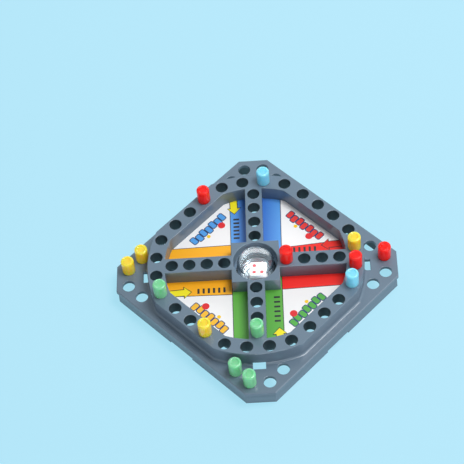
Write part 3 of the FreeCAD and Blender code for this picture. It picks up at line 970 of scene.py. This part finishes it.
class Quarter(Enum):
    """The four cards, each between two arms."""

    GREEN = PrintedCard(name="coated card, green and red strips", angle=0.0,
                        under=Strip(True, *RED_INK_AND_SHADE, 14.6, -0.022), over=Strip(False, *GREEN_INK_AND_SHADE, 15.2))
    RED = PrintedCard(name="coated card, red and blue strips", angle=90.0,
                      under=Strip(False, *RED_INK_AND_SHADE, 14.8, 0.083), over=Strip(True, *BLUE_INK_AND_SHADE, 15.5, 0.013))
    BLUE = PrintedCard(name="coated card, blue and orange strips", angle=180.0,
                       under=Strip(True, *ORANGE_INK_AND_SHADE, 20.5, -0.018),
                       over=Strip(False, *BLUE_INK_AND_SHADE, 15.0, 0.007))
    YELLOW = PrintedCard(name="coated card, orange and green strips", angle=270.0,
                         under=Strip(False, *ORANGE_INK_AND_SHADE, 16.4, -0.02),
                         over=Strip(True, *GREEN_INK_AND_SHADE, 14.9, -0.007))


@dataclass(kw_only=True)
class PrintedQuarters(Assembly):
    """The four printed cards, with their arrows, bars and generic motif tiles."""

    card_z: float = 11.6
    layer: float = 0.03
    arrow_tips: dict[str, Point] = field(default_factory=lambda: {      # along the arm, and beside it
        "right": (41.0, 16.6), "far": (44.4, 12.8), "left": (40.4, 12.9), "near": (42.1, 12.7)})
    arrow_tail: float = 54.6
    arrow_tilt: float = 3.0
    head_length: float = 4.0
    head_half: float = 3.8
    shaft_half: float = 2.1
    outline: float = 0.5
    tip_grow: float = 1.4       # reach of the outline before the arrow's tip, in its own widths
    wing_grow: float = 1.5      # and beyond the wings of the arrow's head
    bar_rows: dict[str, Triple] = field(default_factory=lambda: {       # start, end and side
        "right": (20.6, 36.6, 14.2), "far": (25.6, 39.9, 11.7), "left": (19.9, 35.8, 12.6),
        "near": (20.0, 37.0, 11.9)})
    bar_size: Point = (1.35, 3.7)
    bar_corner: float = 0.3
    bar_count: int = 6
    motif_spots: dict[str, Point] = field(default_factory=lambda: {     # outwards and aside
        "green": (42.3, 0.0), "red": (44.6, 1.0), "blue": (44.4, -3.0), "yellow": (43.2, 2.2)})
    motif_step: float = 4.1
    motif_count: int = 7
    tile_size: Point = (4.9, 3.0)
    tile_corner: float = 0.9
    tile_border: float = 1.1
    back_corner: float = 1.2
    wave: float = 0.45
    dots: dict[str, Triple] = field(default_factory=lambda: {       # from the motif's spot, and radius
        "big": (-4.1, -7.6, 2.3), "small": (-4.0, 3.8, 1.2)})
    inks: dict[str, str] = field(default_factory=lambda: {
        "red": "#EE3A33", "blue": "#55A6F0", "yellow": "#FFC130", "green": "#55B247"})
    black: Material = field(init=False)
    navy: Material = field(init=False)

    def build(self) -> None:
        """Build and dress the cards and what is printed on them."""
        for quarter in Quarter:
            card = frame["nodes"]["card_" + quarter.name.lower()]
            dress(card, quarter.value.material())
        log.info("cards: four printed quarters")
        self.black = Ink(name="black offset ink", body="#1C1F24").material()
        self.navy = Ink(name="navy offset ink", body="#1F3A6B").material()
        self.arrows()
        self.bars()
        self.motifs()

    def on_card(self, piece: Object, material: Material) -> None:
        """Dress a piece of print and set it on the board.

        Args:
            piece: the piece.
            material: its ink.
        """
        dress(piece, material)
        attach(piece, "root")

    def arrow_outline(self, length: float, grow: float) -> list[Point]:
        """Return an arrow with its tip at the origin, grown by the width of its outline.

        Args:
            length: from its tip to its tail, in millimetres.
            grow: width of the outline to add all round, in millimetres.

        Returns:
            Its corners in order.
        """
        tip, neck = -self.tip_grow * grow, self.head_length + grow
        head, shaft = self.head_half + self.wing_grow * grow, self.shaft_half + grow
        return [(tip, 0), (neck, -head), (neck, -shaft), (length, -shaft),
                (length, shaft), (neck, shaft), (neck, head)]

    def arrows(self) -> None:
        """Build an inward arrow beside each arm."""
        yellow = Ink(name="yellow offset ink", body="#FFF01E").material()
        red = Ink(name="red offset ink", body="#F0281E").material()
        tilt = Matrix.Rotation(math.radians(self.arrow_tilt), 4, "Z")
        for arm, (tip, side) in self.arrow_tips.items():
            place = turned_place(ARM_ANGLES[arm], (tip, side, 0)) @ tilt
            ink = red if arm == "right" else yellow
            for kind, grow, layers, finish in (("edge", self.outline, (0, 1), self.black),
                                               ("face", 0.0, (0.5, 2), ink)):
                low, high = (self.card_z + self.layer * count for count in layers)
                outline = self.arrow_outline(self.arrow_tail - tip, grow)
                self.on_card(flat_plate(f"arrow_{kind}_{arm}", outline, low, high, place), finish)
        log.info("arrows: four, one beside each arm")

    def bars(self) -> None:
        """Build the rows of plain bars beside the arms."""
        bar = flat_plate("bar", rounded_outline(*self.bar_size, self.bar_corner, 3), 0, self.layer)
        places = []
        for arm, (start, end, side) in self.bar_rows.items():
            angle = ARM_ANGLES[arm]
            for i in range(self.bar_count):
                along = start + (end - start) * i / (self.bar_count - 1)
                spot = turned_place(angle, (along, side, self.card_z))
                places.append((spot.to_translation(), Euler((0, 0, math.radians(angle)))))
        self.on_card(self.scatter.set_out("print_bars", bar, places, self.black), self.black)
        drop(bar)
        log.info("bars: %d", len(places))

    def motifs(self) -> None:
        """Build the band of plain tiles and its two dots on each card."""
        width, height = self.tile_size
        grown = width + self.tile_border, height + self.tile_border
        tile = flat_plate("tile", rounded_outline(width, height, self.tile_corner), 0, self.layer)
        back = flat_plate("tile_back", rounded_outline(*grown, self.back_corner), 0, self.layer)
        dot = flat_plate("dot", rounded_outline(2.0, 2.0, 0.999, 8), 0, self.layer)     # 1 mm in radius
        dot_inks = {"big": Ink(name="red dot ink", body="#E8232A").material(),
                    "small": Ink(name="yellow dot ink", body="#FFD21E").material()}
        middle = (self.motif_count - 1) / 2
        for name, (out, aside) in self.motif_spots.items():
            ink = Ink(name=name + " offset ink", body=self.inks[name]).material()
            band = [(out + self.wave * (-1) ** i, aside + (i - middle) * self.motif_step)
                    for i in range(self.motif_count)]
            prints = [("tile_backs_" + name, back, band, 0.0, self.navy, 1.0),
                      ("tiles_" + name, tile, band, 0.5, ink, 1.0)]
            prints += [(f"dot_{label}_{name}", dot, [(out + inward, aside + along)], 1.0,
                        dot_inks[label], size) for label, (inward, along, size) in self.dots.items()]
            angle = Quarter[name.upper()].value.angle
            turn = Euler((0, 0, math.radians(angle)))
            for label, shape, spots, layers, finish, size in prints:
                z = self.card_z + layers * self.layer
                places = [(turned_place(angle, (*spot, z)).to_translation(), turn) for spot in spots]
                self.on_card(self.scatter.set_out(label, shape, places, finish, scale=size), finish)
        drop(tile, back, dot)
        log.info("motifs: %d tiles and two dots on each card", self.motif_count)


# ---------------------------------------------------------------- the popper


@dataclass(kw_only=True)
class Popper(Assembly):
    """Dome, snap disc, retainer and die."""

    flange_r: float = 12.8
    flange_low: float = 10.8
    flange_high: float = 12.3
    foot_r: float = 11.7
    shoulder_r: float = 11.2
    shoulder_z: float = 21.0
    corner_r: float = 4.6
    crown_steps: int = 8
    corner_steps: int = 12
    top_z: float = 27.0
    wall: float = 1.0
    pan_r: float = 10.3
    pan_z: float = 6.6
    rim_r: float = 11.4
    disc_wall: float = 0.4
    boss: Triple = (3.2, 3.9, 0.12)     # radii of its top and foot, and how far it is sunk
    grooves: Point = (5.8, 8.2)
    groove_half: float = 0.6
    groove_depth: float = 0.3
    die_size: float = 11.0
    die_edge: float = 1.3
    die_place: Point = (1.3, -2.6)
    die_turn: float = 42.0
    pip_r: float = 1.15
    pip_depth: float = 0.4
    pip_step: float = 2.35

    def build(self) -> None:
        """Build and dress the popper."""
        self.dome()
        self.snap_disc()
        dressed_copy("disc_retainer", "retainer", MouldedStyrene().material())
        log.info("retainer: ring under the flange")
        self.die()

    def crown(self, inset: float) -> list[Triple]:
        """Return the dome's rounded top from the axis to the shoulder, at a depth into its wall.

        Args:
            inset: depth below the outer face, in millimetres.

        Returns:
            Radius, height and edge radius of each point.
        """
        rise, centre_r = self.top_z - self.shoulder_z, self.shoulder_r - self.corner_r
        crown_r = (centre_r ** 2 + rise ** 2 - self.corner_r ** 2) / (2 * (rise - self.corner_r))
        crown_z = self.top_z - crown_r
        meet = math.atan2(centre_r, self.shoulder_z - crown_z)
        bend = math.pi / 2 - meet
        arcs = [(0.0, crown_z, crown_r, meet * i / self.crown_steps) for i in range(self.crown_steps + 1)]
        arcs += [(centre_r, self.shoulder_z, self.corner_r, meet + bend * i / self.corner_steps)
                 for i in range(1, self.corner_steps)]
        points = [(r + (radius - inset) * math.sin(angle), z + (radius - inset) * math.cos(angle), 0.0)
                  for r, z, radius, angle in arcs]
        return points + [(self.shoulder_r - inset, self.shoulder_z, 0.0)]

    def dome(self) -> None:
        """Build the clear dome with its flange."""
        foot = self.foot_r - self.wall
        side = [(self.foot_r, self.flange_high, 0.3), (self.flange_r, self.flange_high, 0.25),
                (self.flange_r, self.flange_low, 0.2), (foot, self.flange_low, 0.2)]
        profile = self.crown(0.0) + side + self.crown(self.wall)[::-1]
        piece = self.lathe.turn("dome_shell", profile, ClearStyrene().material(), segments=128)
        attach(piece, "popper")
        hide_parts("dome")
        log.info("dome: clear, %d faces", len(piece.data.polygons))

    def snap_disc(self) -> None:
        """Build the pressed spring disc, with two stiffening grooves in its pan."""
        steel = TurnedSteel(name="bright spring steel", body="#DDE0E3", roughness=0.13, ring_mm=1.3,
                            ring_depth_mm=0.012).material()
        z, half = self.pan_z, self.groove_half
        boss_r, boss_foot, sunk = self.boss
        top = [(0.0, z - sunk, 0.0), (boss_r, z - sunk, 0.4), (boss_foot, z, 0.4)]
        for middle in self.grooves:
            top += [(middle - half, z, 0.3), (middle, z - self.groove_depth, 0.3),
                    (middle + half, z, 0.3)]
        top += [(self.pan_r, z, 0.5), (self.rim_r, self.flange_low, 0.4),
                (self.flange_r, self.flange_low, 0.05)]
        under = [(r, h - self.disc_wall, edge) for r, h, edge in reversed(top)]
        piece = self.lathe.turn("snap_disc_steel", top + under, steel, segments=96, steps=4)
        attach(piece, "popper")
        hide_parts("snap_disc")
        log.info("snap disc: bright spring steel")

    @property
    def ball_r(self) -> float:
        """Return the radius of the ball that sinks a pip."""
        return (self.pip_r ** 2 + self.pip_depth ** 2) / (2 * self.pip_depth)

    def pip_places(self) -> list[tuple[Vector, Euler]]:
        """Return the places of the pips' cutters on the die's faces, with 4 on top and 3 below.

        Returns:
            Point in metres and turn of each cutter.
        """
        height, s = self.die_size / 2 + self.ball_r - self.pip_depth, self.pip_step
        corners = [(-s, -s), (s, s), (-s, s), (s, -s)]
        counts = {1: [(0, 0)], 2: corners[:2], 3: corners[:2] + [(0, 0)], 4: corners,
                  5: corners + [(0, 0)], 6: corners + [(-s, 0), (s, 0)]}
        faces = {4: (0, 0, 1), 3: (0, 0, -1), 1: (0, -1, 0), 6: (0, 1, 0), 5: (1, 0, 0), 2: (-1, 0, 0)}
        places = []
        for count, normal in faces.items():
            turn = Vector(normal).to_track_quat("Z", "Y")
            places += [(turn @ Vector((x, y, height)) * MM, turn.to_euler()) for x, y in counts[count]]
        return places

    def die(self) -> None:
        """Build the die, its edges rolled round and its 21 pips sunk and painted."""
        white = DiePlastic(name="white die ABS", body="#F4F1F0").material()
        red = DiePlastic(name="red pip paint", body="#D40814", roughness=0.35).material()
        build = bmesh.new()
        bmesh.ops.create_cube(build, size=self.die_size * MM)
        bmesh.ops.bevel(build, geom=build.edges[:], offset=self.die_edge * MM, segments=6, profile=0.5,
                        affect="EDGES")
        body = dress(mesh_from("die_body", build), white)
        build = bmesh.new()
        bmesh.ops.create_uvsphere(build, u_segments=28, v_segments=18, radius=self.ball_r * MM)
        ball = dress(mesh_from("pip_ball", build), red)
        cut_out(body, self.scatter.set_out("pip_cutters", ball, self.pip_places(), red))
        place = turned_place(45.0, (*self.die_place, self.pan_z + self.die_size / 2))
        body.data.transform(Matrix.Translation(place.to_translation())
                            @ Matrix.Rotation(math.radians(self.die_turn), 4, "Z"))
        smooth(body)
        drop(ball)
        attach(body, "die")
        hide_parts("die")
        log.info("die: %d faces", len(body.data.polygons))


# ---------------------------------------------------------------- the pegs


@dataclass(kw_only=True)
class PegSet(Assembly):
    """The pegs that stand in the board."""

    head_r: float = 4.0
    top_edge: float = 1.0
    top_rim: float = 1.35
    dish: float = 0.5
    head: float = 10.5
    stem_r: float = 3.4
    tip_r: float = 3.1
    stem: float = 9.0
    counts: dict[str, int] = field(default_factory=lambda: {"RED": 4, "YELLOW": 4, "GREEN": 4, "BLUE": 2})

    def build(self) -> None:
        """Build and dress every peg on its own body."""
        for name, count in self.counts.items():
            finish = Colour[name].value.material()
            slot = "peg_" + name.lower()
            for node in (f"{slot}_{i}" for i in range(1, count + 1)):
                low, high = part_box(node)
                piece = self.lathe.turn(f"{node}_moulding", self.profile(), finish, segments=72, steps=5)
                place = Vector(((low.x + high.x) / 2, (low.y + high.y) / 2, high.z - self.head * MM))
                piece.data.transform(Matrix.Translation(place))
                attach(piece, node)
                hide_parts(node)
            log.info("pegs: %d %s", count, name.lower())

    def profile(self) -> list[Triple]:
        """Return the peg's profile, from the tip of its stem to the dished top of its head.

        Returns:
            Radius, height over the board and edge radius of each corner.
        """
        rim_r, floor = self.head_r - self.top_rim, self.head - self.dish
        return [(0.0, -self.stem, 0.0), (self.tip_r, -self.stem, 0.4), (self.stem_r, -0.6, 0.3),
                (self.stem_r, 0.0, 0.0), (self.head_r, 0.0, 0.15), (self.head_r, 0.9, 0.3),
                (self.head_r, self.head, self.top_edge), (rim_r, self.head, 0.3),
                (rim_r - self.dish, floor, 0.5), (0.0, floor, 0.0)]


# ---------------------------------------------------------------- the studio


@dataclass
class Studio:
    """Floor, lamps and camera. Lengths are in metres."""

    floor_size: float = 6.0
    floor_z: float = -0.00005
    world_soft: float = 0.28    # light on things, against what is seen or mirrored of the room
    world_seen: float = 0.97
    world_tint: str = "#E4F3FA"
    key_power: float = 5.6
    lamps: tuple[tuple[str, Triple, Point, float], ...] = (     # name, place, size, share of key_power
        ("overhead_softbox", (0.19, 0.24, 0.83), (0.36, 0.36), 1.0),
        ("back_softbox", (-0.6, 0.6, 0.42), (1.3, 0.34), 0.75),
        ("side_fill", (0.8, 0.3, 0.28), (0.6, 0.6), 0.25),
        ("low_front", (0.73, -0.61, 0.14), (0.6, 0.14), 0.4))
    azimuth: float = 50.0
    elevation: float = 54.209
    roll: float = -7.388
    distance: float = 1.0119
    focal_px: float = 1624.65
    clip: Point = (0.05, 20.0)
    target: Triple = (-0.02995, 0.009715, 0.015)

    def build(self) -> None:
        """Set up the whole studio."""
        self.floor()
        self.world()
        self.lights()
        self.camera()
        settings = bpy.context.scene.view_settings
        settings.view_transform = "Standard"

    def floor(self) -> None:
        """Lay the pale paper floor."""
        build = bmesh.new()
        bmesh.ops.create_circle(build, cap_ends=True, segments=96, radius=self.floor_size / 2)
        bmesh.ops.translate(build, verts=build.verts, vec=(0, 0, self.floor_z))
        paper = dress(mesh_from("floor", build), FloorPaper().material())

    def world(self) -> None:
        """Light the room softly from all sides; what is seen or mirrored of it is pale."""
        room = bpy.data.worlds.new("soft room")
        bpy.context.scene.world = room
        room.use_nodes = True
        tree = room.node_tree
        tree.nodes.clear()
        seen = seen_or_mirrored(tree)
        level = add_node(tree, "ShaderNodeMapRange",
                         {"Value": seen, "To Min": self.world_soft, "To Max": self.world_seen})
        tint = add_node(tree, "ShaderNodeMix", {MIX_BY: seen, MIX_A: srgb("#FFFFFF"),
                                                MIX_B: srgb(self.world_tint)}, data_type="RGBA")
        shade = add_node(tree, "ShaderNodeBackground",
                         {"Color": tint.outputs[MIXED], "Strength": level.outputs["Result"]})
        add_node(tree, "ShaderNodeOutputWorld", {"Surface": shade.outputs["Background"]})

    def lights(self) -> None:
        """Hang the rectangular soft lamps, each facing the board."""
        for name, place, size, share in self.lamps:
            light = bpy.data.lights.new(name, "AREA")
            light.shape = "RECTANGLE"
            light.size, light.size_y = size
            light.energy = self.key_power * share
            made = link_object(name, light)
            made.location = place
            made.rotation_euler = Vector(place).to_track_quat("Z", "Y").to_euler()

    def camera(self) -> None:
        """Set the camera at its azimuth, elevation and roll round the board."""
        turn, tip, roll = (math.radians(a) for a in (self.azimuth, 90 - self.elevation, self.roll))
        look = Euler((tip, 0.0, turn)).to_matrix() @ Matrix.Rotation(roll, 3, "Z")
        data = bpy.data.cameras.new("camera")
        data.sensor_width = SENSOR_MM
        data.lens = self.focal_px / PICTURE_WIDTH * SENSOR_MM
        data.clip_start, data.clip_end = self.clip
        made = link_object("camera", data)
        place = Vector(self.target) + look.col[2] * self.distance
        made.matrix_world = Matrix.Translation(place) @ look.to_4x4()
        bpy.context.scene.camera = made


def main() -> None:
    """Build every sub-assembly in order."""
    logging.basicConfig(level=logging.INFO, format="%(message)s")
    lathe, scatter = Lathe(), Scatter()
    Studio().build()
    for assembly in (BoardCase, PrintedQuarters, Popper, PegSet):
        assembly(lathe=lathe, scatter=scatter).build()


if __name__ == "__main__":
    main()
